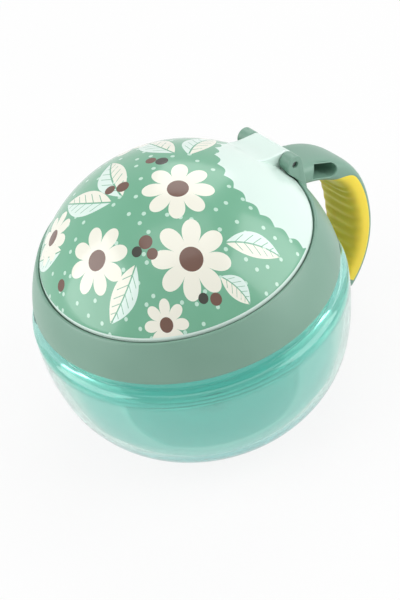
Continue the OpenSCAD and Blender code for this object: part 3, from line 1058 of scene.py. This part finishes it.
@dataclass
class OpenHandle:
    """The open handle: a hard core swept from the collar round to a free tip, with a
    strap slot through its arm and a soft ribbed grip moulded over it.

    u runs from 0 at the collar, through 1 at the outermost point, to 2 at the tip. grip is
    where the grip starts, has climbed the sides in full, and ends. arm and tail are the
    curves of the centre line, by their control points in the hinge's plane.
    """

    hard: Material
    soft: Material
    half_widths: Triple = (8.4, 8.4, 5.1)
    half_thick: float = 3.8
    arm_end: float = 0.9
    grip: Triple = (0.3, 0.64, 1.84)
    cover_start: float = 0.45
    cover_full: float = 1.5
    edge_start: float = 0.25
    bare_strip: float = 2.3
    squareness: float = 3.2
    tip_start: float = 1.9
    tip_least: float = 0.03
    step_gap: float = 0.003
    rib: float = 0.42
    ribs: int = 10
    rib_margin: float = 0.1
    groove: float = 0.14
    near_edge: tuple[float, ...] = (0, 0.1, 0.22, 0.4)
    even_from: float = 0.7
    skin_points: int = 48
    slot_at: float = 0.165
    slot_lift: float = 0.4
    slot: Pair = (9.2, 4.3)
    slot_corner: float = 0.5
    slot_flare: float = 0.5
    arm: np.ndarray = field(default_factory=lambda: np.array(
        [[45.29, 59.2], [57.49, 54.7], [63.1, 47.9], [63.1, 34.1]]))
    tail: np.ndarray = field(default_factory=lambda: np.array(
        [[63.1, 34.1], [63.1, 21.2], [58.7, 9.5], [52.7, 6.9]]))

    def line(self, u: float) -> np.ndarray:
        """Point of the centre line in the hinge's plane."""
        return bezier(self.arm, u) if u <= 1 else bezier(self.tail, u - 1)

    def along(self, u: float) -> np.ndarray:
        """Unit direction of the centre line."""
        d = bezier(np.diff(self.arm, axis=0), u) if u <= 1 else bezier(np.diff(self.tail, axis=0), u - 1)
        return d / np.linalg.norm(d)

    def outward(self, u: float) -> np.ndarray:
        """Unit direction away from the cup, across the centre line."""
        a = self.along(u)
        return np.array([-a[1], a[0]])

    def scale(self, u: float) -> float:
        """Share of the section that is left as the tip rounds off."""
        past = max(0, u - self.tip_start) / (2 - self.tip_start)
        return math.sqrt(max(self.tip_least, 1 - past**2))

    def half_w(self, u: float) -> float:
        """Half width of the section."""
        arm, middle, tip = self.half_widths
        return self.scale(u) * (ease(arm, middle, u / self.arm_end) if u <= 1 else ease(middle, tip, u - 1))

    def half_t(self, u: float) -> float:
        """Half thickness of the section."""
        return self.scale(u) * self.half_thick

    def climb(self, u: float) -> float:
        """How far the grip's edge has climbed the sides."""
        return (u - self.grip[0]) / (self.grip[1] - self.grip[0])

    def cover(self, u: float) -> float:
        """Thickness of soft grip over the core."""
        return ease(self.cover_start, self.cover_full, self.climb(u))

    def split(self, u: float) -> float:
        """Finds where the grip's edge runs.

        Args:
            u: place along the centre line.
        Returns:
            The edge's height above the centre line.
        """
        v = min(max(u, self.grip[0]), self.grip[2])
        return ease(-self.half_thick + self.cover(v) + self.edge_start,
                    self.half_thick - self.bare_strip, self.climb(v)) * self.scale(u)

    def seams(self, u: float, gripped: bool = True) -> tuple[float, ...]:
        """Finds how the section is shared between the core and the grip.

        Args:
            u: its place along the centre line.
            gripped: whether the grip covers the core there.
        Returns:
            Half width, half thickness, the grip's thickness, and the angles of the grip's edge
            on the outside and on the core.
        """
        w, t, n = self.half_w(u), self.half_t(u), self.split(u)
        c = self.cover(u) if gripped else 0.0
        return w, t, c, self.angle_at(t, n), self.angle_at(t - c, n)

    def oval(self, w: float, t: float, start: float, end: float) -> np.ndarray:
        """Draws part of the squared oval that is the handle's section.

        Args:
            w: its half width.
            t: its half thickness.
            start: angle at which the part starts, in degrees.
            end: angle at which it ends.
        Returns:
            Fine points of its outline.
        """
        a = np.radians(np.linspace(start, end, 240))
        k = 2 / self.squareness
        return np.stack([w * np.sign(np.cos(a)) * np.abs(np.cos(a)) ** k,
                         t * np.sign(np.sin(a)) * np.abs(np.sin(a)) ** k], -1)

    def angle_at(self, t: float, n: float) -> float:
        """Angle round the squared oval at which its outline is at height n."""
        return math.degrees(math.asin(math.copysign(min(1, abs(n / t)) ** (self.squareness / 2), n)))

    def spread(self, outline: np.ndarray, count: int, ends: bool) -> np.ndarray:
        """Spreads points evenly along an outline, closer at its ends.

        Args:
            outline: fine points of the outline.
            count: points to give back.
            ends: whether its ends dip into the groove between the core and the grip.
        Returns:
            The points.
        """
        run = np.concatenate([[0], np.cumsum(np.linalg.norm(np.diff(outline, axis=0), axis=1))])
        near, first = np.array(self.near_edge), self.even_from
        if run[-1] > 2:
            even = np.linspace(first, run[-1] - first, count - 2 * len(near))
            at = np.concatenate([near, even, run[-1] - near[::-1]])
        else:
            at = np.linspace(0, run[-1], count)
        points = np.stack([np.interp(at, run, outline[:, k]) for k in (0, 1)], -1)
        if ends:
            dip = self.groove * np.clip(1 - np.minimum(at, run[-1] - at) / near[-1], 0, 1) ** 2
            length = np.linalg.norm(points, axis=1, keepdims=True)
            points = points * (1 - dip[:, None] / np.maximum(length, 1e-6))
        return points

    def place(self, u: float, section: np.ndarray) -> np.ndarray:
        """A section's points set across the centre line."""
        return np.column_stack([section[:, 0], self.line(u) + section[:, 1:] * self.outward(u)])

    def core_ring(self, u: float, gripped: bool) -> np.ndarray:
        """Draws a ring of the core: over the bare back, then under the grip.

        Args:
            u: its place along the centre line.
            gripped: whether the grip covers the core there.
        Returns:
            The ring's points.
        """
        w, t, c, a, b = self.seams(u, gripped)
        back = self.spread(self.oval(w, t, a, 180 - a), 44, gripped)
        front = self.spread(self.oval(w - c, t - c, 180 - b, 360 + b), 40, False)
        return self.place(u, np.concatenate([back, front]))

    def root_rings(self) -> list[np.ndarray]:
        """Draws the arm's root, which lies on the ball that clears the lid.

        Returns:
            Its rings, closed at a pole.
        """
        seat = self.core_ring(0, False)
        way = np.array([0, *-self.along(0)])
        at = seat - CENTRE
        along = at @ way
        travel = -along - np.sqrt(along**2 - (at**2).sum(1) + CLEAR_BALL**2)
        foot = seat + travel[:, None] * way
        middle = foot.mean(0)
        rings = []
        for share in (0.0, 0.3, 0.6, 0.85, 1.0):
            ring = middle + (foot - middle) * share - CENTRE
            rings.append(CENTRE + ring * (CLEAR_BALL / np.linalg.norm(ring, axis=1, keepdims=True)))
        return [rings[0][:1], *rings[1:], foot + (seat - foot) * 0.5]

    def core(self) -> Thing:
        """Makes the hard core, with its slot.

        Returns:
            The core.
        """
        start, _, end = self.grip
        after = end + self.step_gap
        spans = ((np.linspace(0, start - self.step_gap, 26), False), (np.linspace(start, end, 120), True),
                 (after + (2 - after) * np.sin(np.linspace(0, np.pi / 2, 22)), False))
        rings = self.root_rings() + [self.core_ring(u, gripped) for span, gripped in spans for u in span]
        made = loft("handle_core", [*rings, np.array([[0, *self.line(2)]])])
        cut(made, self.slot_tool())
        smooth(made, 38)
        return made

    def slot_tool(self) -> Thing:
        """Makes the tool for the strap slot: flat at one end, round at the other, flared at both faces.

        Returns:
            The tool.
        """
        half, r, k = self.slot[0] / 2, self.slot[1] / 2, self.slot_corner
        dy, dz = self.along(self.slot_at), self.outward(self.slot_at)
        centre = self.line(self.slot_at) + self.slot_lift * dz
        corners = (((half - r, 0.0), r, -90, 90, 33), ((k - half, r - k), k, 90, 180, 9),
                   ((k - half, k - r), k, 180, 270, 9))
        us = np.linspace(0, 0.5, 400)
        lines = np.array([self.line(u) for u in us])

        def level(offset: float, depth: float) -> np.ndarray:
            """Draws the slot's outline on the arm's side.

            Args:
                offset: how far the outline is grown.
                depth: how far it lies under the side.
            Returns:
                Its points.
            """
            flat = np.array([p for at, radius, *turn in corners for p in arc(at, radius + offset, *turn)])
            x, q = [], centre + flat[:, :1] * dy + flat[:, 1:] * dz
            for p in q:
                u = us[np.argmin(((lines - p) ** 2).sum(1))]
                n = min(0.98, abs((p - self.line(u)) @ self.outward(u)) / self.half_t(u))
                x.append(self.half_w(u) * (1 - n**self.squareness) ** (1 / self.squareness) - depth)
            return np.column_stack([x, q])

        side = [level(self.slot_flare * (1 - math.cos(a)), self.slot_flare * (1 - math.sin(a)))
                for a in np.linspace(0, math.pi / 2, 7)] + [level(self.slot_flare + 0.01, -1.5)]
        return loft("slot_tool", [ring * np.array([-1, 1, 1]) for ring in side[::-1]] + side, capped=True)

    def skin(self) -> Thing:
        """Makes the soft grip: a folded skin outside the core, its ribs raised by a geometry tree.

        Returns:
            The grip.
        """
        start, full, end = self.grip
        half = self.skin_points
        rings, where, facing = [], [], []
        for u in np.linspace(start, end, 200):
            w, t, c, a, b = self.seams(u)
            outer = self.spread(self.oval(w, t, 180 - a, 360 + a), half, True)
            inner = self.spread(self.oval(w - c, t - c, 360 + b, 180 - b), half, False)
            rings.append(self.place(u, np.concatenate([outer, inner])))
            share = (u - full) / (end - self.rib_margin - full)
            where += [min(max(share, 0), 1)] * 2 * half
            facing += [max(0, -p[1] / t) ** 3 for p in outer] + [0.0] * half
        quads = [[i, i + 1, 2 * half - 2 - i, 2 * half - 1 - i] for i in range(half - 1)]
        last = 2 * half * (len(rings) - 1)
        ends = quads + [[last + i for i in quad[::-1]] for quad in quads]
        made = loft("grip_skin", rings, 50, extra=ends)
        for name, values in (("rib_place", where), ("rib_share", facing)):
            made.data.attributes.new(name, "FLOAT", "POINT").data.foreach_set("value", values)
        self.raise_ribs(made)
        return made

    def raise_ribs(self, made: Thing) -> None:
        """Raises the ribs of the grip along its normals, by the attributes of its points.

        Args:
            made: the grip.
        """
        growth = GrowthTree("Grip ribs", {"Height": self.rib * MM, "Turn": self.ribs * math.pi})
        add, size = growth.add, growth.size
        place, share = (add("GeometryNodeInputNamedAttribute", {"Name": name}, data_type="FLOAT")
                        for name in ("rib_place", "rib_share"))
        wave = add("Math.SINE", [add("Math.MULTIPLY", [place, size["Turn"]])])
        raised = add("Math.MULTIPLY", [add("Math.POWER", [wave, 2.0]), share])
        height = add("Math.MULTIPLY", [raised, size["Height"]])
        offset = add("VectorMath.SCALE", {0: add("GeometryNodeInputNormal"), "Scale": height})
        moved = add("GeometryNodeSetPosition", {"Geometry": size["Geometry"], "Offset": offset})
        growth.grow(made, moved, self.soft)

    def make(self) -> None:
        """Builds and dresses the core and the grip."""
        dress(self.core(), Body.COLLAR, Slot.SAGE, self.hard, "handle")
        dress(self.skin(), Body.COLLAR, Slot.SOFT_YELLOW, self.soft, "grip")


# ------------ the lid


@dataclass
class DomedLid:
    """The flip lid: domed shell with its edge and stop ring, and the tongue with its knuckle.

    stop is the stop ring's radii; tongue_run is from the pin forward to the dome; blend is
    how far the tongue's top is rounded into the dome, before and behind their corner; sink
    is the length on which its sides come down to the dome.
    """

    finish: Material
    ball: float = 45.8
    wall: float = 1.8
    edge_r: float = 40.519
    edge_z: float = 61.65
    edge_round: float = 0.35
    under: float = 60.25
    stop: Pair = (34.212, 35.612)
    stop_round: float = 0.3
    bore: float = 1.05
    half: float = 7.05
    tongue_run: float = 8.7
    tongue_edge: float = 0.4
    blend: Pair = (4.95, 4.5)
    sink: float = 9.0

    def section(self) -> list[Pair]:
        """Draws the shell's section from its top out, round its edge and back inside.

        Returns:
            Radii and heights.
        """
        inner = self.ball - self.wall
        at = math.degrees(math.atan2(self.edge_z - BALL_Z, self.edge_r))
        low = math.asin((self.under - BALL_Z) / inner)
        (ring_in, ring_out), k, e = self.stop, self.stop_round, self.edge_round
        a_in, a_out = (math.degrees(math.acos(r / inner)) for r in self.stop)
        foot_in, centre = inner * math.cos(low), (0, BALL_Z)
        return [
            (0, BALL_Z + self.ball), *arc(centre, self.ball, 89, at + 0.9, 90),
            (self.edge_r - 0.06, self.edge_z - 0.1), (self.edge_r, self.edge_z - 0.45),
            *arc((self.edge_r - e, self.under + e), e, 0, -90, 6),
            (foot_in + 0.2, self.under), (foot_in, self.under + 0.2),
            *arc(centre, inner, math.degrees(low) + 0.6, a_out - 0.4, 16),
            (ring_out, self.under + 5.2), (ring_out, self.under + k), (ring_out - k, self.under),
            (ring_in + k, self.under), (ring_in, self.under + k), (ring_in, self.under + 7),
            *arc(centre, inner, a_in + 0.6, 89, 60), (0, BALL_Z + inner),
        ]

    def tongue_outline(self) -> list[Pair]:
        """Draws the tongue and knuckle in the hinge's plane, the top blended into the dome.

        Returns:
            The outline.
        """
        y, z = HINGE
        root_y = y - self.tongue_run
        reach = (self.tongue_run, z - BALL_Z - leg(self.ball - self.wall / 2, root_y))
        lean = math.atan2(reach[1], reach[0]) + math.asin(BARREL / math.hypot(*reach))
        crown = (y - BARREL * math.sin(lean), z + BARREL * math.cos(lean))

        def top(at: Real) -> Real:
            """Height of the tongue's straight top."""
            return crown[1] + math.tan(lean) * (at - crown[0])

        # The corner where the straight top meets the dome is crossed by a quadratic curve
        ys = np.linspace(root_y - 3, y, 400)
        corner = ys[np.argmax(top(ys) > BALL_Z + leg(self.ball, ys))]
        start, end = corner - self.blend[0], corner + self.blend[1]
        low = BALL_Z + leg(self.ball, start) - 0.02
        ends = np.array([(start, low), (corner, top(corner)), (end, top(end))])
        sunk = self.ball - self.wall * 0.6
        return [*map(tuple, bezier(ends, np.linspace(0, 1, 20)[:, None])),
                *arc(HINGE, BARREL, math.degrees(lean) + 90, -120, 44),
                *[(leg(sunk, h - BALL_Z), h) for h in np.linspace(z - 2, low - 1.2, 22)]]

    def tongue(self) -> Thing:
        """Makes the tongue with its knuckle, bored for the pin, edges rounded.

        Returns:
            The tongue.
        """
        outline = np.array(self.tongue_outline())
        rings = []
        for x in np.linspace(-self.half, self.half, 15):
            ring = np.column_stack([np.full(len(outline), x), outline])
            chord = leg(self.ball, ring[:, 1])
            share = np.clip((HINGE[0] - BARREL - ring[:, 1]) / self.sink, 0, 1)
            ring[:, 2] -= (chord - leg(chord, x)) * share * share * (3 - 2 * share)
            rings.append(ring)
        made = loft("lid_tongue", rings, 30, capped=True)
        cut(made, bar(-self.half, self.half, self.bore))
        soften(made, self.tongue_edge, 4, 40)
        return made

    def map_dome(self, made: Thing, least: float) -> None:
        """Gives a piece its map, in millimetres along the dome from its top.

        Args:
            made: the piece.
            least: what is nearer to the common centre than this lies off the print.
        """
        mesh = made.data
        co, loops = np.empty(len(mesh.vertices) * 3), np.empty(len(mesh.loops), int)
        mesh.vertices.foreach_get("co", co)
        mesh.loops.foreach_get("vertex_index", loops)
        p = co.reshape(-1, 3) / MM - CENTRE
        x, y, z = p[:, 0], p[:, 1] * TILT_COS + p[:, 2] * TILT_SIN, p[:, 2] * TILT_COS - p[:, 1] * TILT_SIN
        flat = np.hypot(x, y)
        uv = np.stack([x, y], -1) * (np.arctan2(flat, z) * self.ball / np.maximum(flat, 1e-9))[:, None]
        uv[np.linalg.norm(p, axis=1) < least] = OFF_PRINT
        mesh.uv_layers.new(name="dome").data.foreach_set("uv", uv[loops].ravel())

    def make(self) -> None:
        """Builds and dresses the lid, its inside and its tongue left bare."""
        shell, tongue = revolve("lid_shell", self.section(), 35, tilt=True), self.tongue()
        self.map_dome(shell, self.ball - 0.3)
        self.map_dome(tongue, math.inf)
        dress(join(shell, tongue), Body.LID, Slot.MINT, self.finish, "lid")


@dataclass
class HingePin:
    """The steel pin through the knuckle and both ears, with chamfered ends."""

    finish: Material
    radius: float = 1.0
    half: float = 10.7
    chamfer: float = 0.2

    def make(self) -> None:
        """Builds and dresses the pin."""
        ends = ((self.half, 0.0), (self.half, self.radius - self.chamfer),
                (self.half - self.chamfer, self.radius))
        rings = [wheel(-x, r) for x, r in ends] + [wheel(x, r) for x, r in ends[::-1]]
        dress(loft("hinge_pin_steel", rings, 30), Body.COLLAR, Slot.PIN_STEEL, self.finish, "hinge_pin")


# ------------ the insert


@dataclass
class SnackInsert:
    """The soft insert: flanged ring in the collar's mouth and the petals across it.

    A petal's root is an arc of radius root_ball that reaches to root_at; slit is the gap
    between two petals, hole the radius that they leave in the middle.
    """

    finish: Material
    outer: float = 33.012
    inner: float = 31.412
    flange: float = 36.212
    low: float = 56.1
    step: float = 58.7
    top: float = 59.9
    ring_edge: float = 0.3
    petals: int = 6
    petal_low: float = 56.4
    petal_thick: float = 1.2
    petal_edge: float = 0.28
    root_ball: float = 24.0
    root_at: float = 30.962
    slit: float = 0.8
    hole: float = 2.0

    def ring(self) -> None:
        """Builds and dresses the flanged ring."""
        made = revolve("insert_ring", [
            (self.outer, self.low), (self.outer, self.step), (self.flange, self.step),
            (self.flange, self.top), (self.inner, self.top), (self.inner, self.low)], 40, tilt=True)
        soften(made, self.ring_edge)
        dress(made, Body.COLLAR, Slot.SOFT_WHITE, self.finish, "insert")

    def petal_outline(self) -> np.ndarray:
        """Draws the petal that lies along X, from its side at the hole round its root.

        Returns:
            The outline's points.
        """
        half = math.pi / self.petals
        apex = self.slit / 2 / math.sin(half)
        dx, dy = math.cos(half), math.sin(half)
        centre = self.root_at - self.root_ball
        near, far = (-k * dx + math.sqrt((k * dx) ** 2 - k**2 + radius**2)
                     for k, radius in ((apex, self.hole), (apex - centre, self.root_ball)))
        side = [(apex + dx * t, dy * t) for t in np.linspace(near, far, 14)]
        turn = math.degrees(math.atan2(side[-1][1], side[-1][0] - centre))
        cusp = math.degrees(math.atan2(side[0][1], side[0][0]))
        return np.array([*side, *arc((centre, 0), self.root_ball, turn, -turn, 32)[1:-1],
                         *[(x, -y) for x, y in side[::-1]], *arc((0, 0), self.hole, -cusp, cusp, 8)[1:-1]])

    def petal(self, number: int) -> None:
        """Builds and dresses one petal: a soft slab repeated round the axis by a geometry tree.

        Args:
            number: the petal's place round the mouth, from 0.
        """
        node, outline = f"petal_{number + 1}", self.petal_outline()
        made = loft(f"{node}_soft", [np.column_stack([outline, np.full(len(outline), z)]) for z in (
            self.petal_low, self.petal_low + self.petal_thick)], 30, capped=True)
        soften(made, self.petal_edge)
        growth = GrowthTree("Petal ring", {"Petals": self.petals, "Keep": number, "Slope": RIM_TILT,
                                           "Centre": BALL_Z * MM})
        add, size = growth.add, growth.size
        copies = growth.repeat_round(size["Geometry"], size["Petals"])
        other = add("FunctionNodeCompare", {2: add("GeometryNodeInputIndex"), 3: size["Keep"]}, "Result",
                    data_type="INT", operation="NOT_EQUAL")
        kept = add("GeometryNodeDeleteGeometry", {"Geometry": copies, "Selection": other}, domain="INSTANCE")
        down = add("CombineXYZ", {"Z": add("Math.MULTIPLY", [size["Centre"], -1.0])})
        lowered = add("GeometryNodeTransform", {"Geometry": kept, "Translation": down})
        slope, up = add("CombineXYZ", {"X": size["Slope"]}), add("CombineXYZ", {"Z": size["Centre"]})
        placed = add("GeometryNodeTransform", {"Geometry": lowered, "Rotation": slope, "Translation": up})
        growth.grow(made, placed, self.finish)
        dress(made, Body(node), Slot.SOFT_WHITE, self.finish, node)

    def seal(self) -> None:
        """Dresses the flat seal, whose plain CAD ring is kept as it is."""
        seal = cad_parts["seal"]
        seal.data.materials.clear()
        seal.data.materials.append(self.finish)
        LOG.info("seal: the CAD ring, dressed")

    def make(self) -> None:
        """Builds and dresses the ring, the petals and the seal."""
        self.ring()
        for number in range(self.petals):
            self.petal(number)
        self.seal()


# ------------ the studio


def toward(turn: float, rise: float) -> Vector:
    """Unit direction out from the cup, by its turn from the front and its height in degrees."""
    az, el = math.radians(turn), math.radians(rise)
    return Vector((math.sin(az) * math.cos(el), -math.cos(az) * math.cos(el), math.sin(el)))


def seen_rays(add: Adder) -> Socket:
    """Adds a test for the rays that show the studio: to the camera, off gloss and through clear walls.

    Args:
        add: adds a node to the tree.
    Returns:
        1 for such a ray, 0 for one that only lights.
    """
    camera = add("LightPath", out="Is Camera Ray")
    rays = camera.node.outputs
    gloss = add("Math.MAXIMUM", [camera, rays["Is Glossy Ray"]])
    return add("Math.MAXIMUM", [gloss, rays["Is Transmission Ray"]])


@dataclass(frozen=True)
class PaleSweep(Finish):
    """Matt white studio paper: plain white wherever the camera, a gloss or a clear wall
    looks at it, but keeping a share of the object's soft shadow.
    """

    colour: str
    kept_shadow: float = 0.12

    def surface(self, add: Adder) -> Socket:
        """Adds the paper's nodes.

        Args:
            add: adds a node to the material.
        Returns:
            The shader.
        """
        paper = add("BsdfDiffuse", {"Color": linear(self.colour)})
        glow = add("Emission", {"Color": WHITE, "Strength": 1.0})
        share = add("Math.MULTIPLY", [seen_rays(add), 1 - self.kept_shadow])
        return add("MixShader", [share, paper, glow])


@dataclass(frozen=True)
class SoftBox:
    """A rectangular soft lamp that looks at the cup.

    Fields are its turn to the right of the view and its height in degrees, its distance,
    width and height in metres, and its brightness, where 1 is plain white.
    """

    name: str
    turn: float
    rise: float
    distance: float
    size: Pair
    level: float
    aim: Triple = (0.0, 0.0, 0.045)

    def make(self, view_turn: float) -> None:
        """Places the lamp round the cup.

        Args:
            view_turn: the view's own turn.
        """
        lamp = bpy.data.lights.new(self.name, "AREA")
        lamp.shape = "RECTANGLE"
        lamp.size, lamp.size_y = self.size
        lamp.energy = self.level * math.pi * self.size[0] * self.size[1]
        way = toward(view_turn + self.turn, self.rise)
        pose = way.to_track_quat("Z", "Y").to_matrix().to_4x4()
        pose.translation = Vector(self.aim) + way * self.distance
        new_object(self.name, lamp).matrix_world = pose


@dataclass
class Studio:
    """Camera, floor, world and lamps.

    The camera's fields are its turn round the cup and height over the table in degrees,
    its roll, its distance in metres, its focal length in pixels of a 400 wide frame, and
    the pixel that looks at the target. The floor lies just under the cup.
    """

    turn: float = 58.0
    height: float = 40.4
    roll: float = -13.3
    distance: float = 0.7646
    focal: float = 2600.0
    aim_pixel: Pair = (185.6, 275.4)
    frame_pixels: tuple[int, int] = (400, 600)
    sensor: float = 36.0
    target: Triple = (0.0, 0.0, 0.0472)
    world_level: float = 0.24
    floor_reach: float = 4000.0
    floor_z: float = -0.05
    boxes: tuple[SoftBox, ...] = (
        SoftBox("Left soft box", -84, 24, 1.1, (1.0, 1.0), 3.0),
        SoftBox("Right soft box", 76, 24, 1.1, (0.95, 1.0), 3.0),
        SoftBox("Overhead soft box", 8, 80, 1.0, (0.9, 0.55), 1.3),
        SoftBox("Back soft box", 160, 45, 1.0, (0.6, 0.6), 2.2))

    def camera(self) -> None:
        """Makes the camera."""
        back, az, roll = toward(self.turn, self.height), math.radians(self.turn), math.radians(self.roll)
        right = Vector((math.cos(az), math.sin(az), 0))
        up = right.cross(-back)
        across = math.cos(roll) * right + math.sin(roll) * up
        over = -math.sin(roll) * right + math.cos(roll) * up
        dx, dy = ((size / 2 - aim) / self.focal for size, aim in zip(self.frame_pixels, self.aim_pixel))
        look = (-back + across * dx - over * dy).normalized()
        x = look.cross(over).normalized()
        pose = Matrix((x, x.cross(look), -look)).transposed().to_4x4()
        pose.translation = Vector(self.target) + back * self.distance
        data = bpy.data.cameras.new("Camera")
        data.sensor_fit, data.sensor_width = "HORIZONTAL", self.sensor
        data.lens = self.focal / self.frame_pixels[0] * self.sensor
        made = new_object("Camera", data)
        made.matrix_world = pose
        bpy.context.scene.camera = made

    def floor(self) -> None:
        """Makes the floor."""
        far = self.floor_reach
        corners = [(x, y, self.floor_z) for x, y in ((-far, -far), (far, -far), (far, far), (-far, far))]
        made = loft("studio_floor", [np.array(corners)], extra=[[0, 1, 2, 3]])
        made.data.materials.append(PaleSweep("White studio paper", "#f2f2f2").build())

    def world(self) -> None:
        """Makes the world: plain white where it shows, softer as light."""
        world = bpy.data.worlds.new("Pale studio")
        bpy.context.scene.world = world
        add = opened(world)
        level = add("MapRange", {"Value": seen_rays(add), "To Min": self.world_level, "To Max": 1.0})
        glow = add("Background", {"Color": WHITE, "Strength": level})
        add("OutputWorld", {"Surface": glow})

    def make(self) -> None:
        """Sets up the whole studio, its lamps round the camera's own turn."""
        self.camera()
        self.floor()
        self.world()
        for box in self.boxes:
            box.make(self.turn)
        bpy.context.scene.view_settings.view_transform = "Standard"


def main() -> None:
    """Builds the cup piece by piece in its studio."""
    logging.basicConfig(level=logging.INFO, format="%(message)s")
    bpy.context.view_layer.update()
    Studio().make()
    # The wall's pale tint, then painted-shade tints for the foot's lower outside, the floor disc and the
    # band under the collar
    clear = TintedClear("Teal clear copolyester, moulded, with painted shade", "#d6f3eb", "#66cbc6",
                        "#74d3ca", "#98ddd1").build()
    sage = MouldedPlastic("Sage polypropylene, spark-eroded satin", "#779d8b", "#7ea492").build()
    rubber = SoftRubber("Yellow thermoplastic elastomer, overmoulded", "#f9db3c", "#fbe14c").build()
    silicone = SoftRubber("White silicone, moulded", "#f0f1ea", "#f6f6f1", glow=0.3).build()
    steel = DrawnSteel("Stainless steel wire, drawn", "#5d6462").build()
    gloss = PrintedGloss("Mint polypropylene, polished and pad-printed", "#dcefe7", "#76b395",
                         "#68a888", "#efeee0", "#bfe0cf", "#6a4a3d", "#33352c").build()
    CupBowl(clear).make()
    ScrewCollar(sage).make()
    OpenHandle(sage, rubber).make()
    DomedLid(gloss).make()
    HingePin(steel).make()
    SnackInsert(silicone).make()


if __name__ == "__main__":
    main()
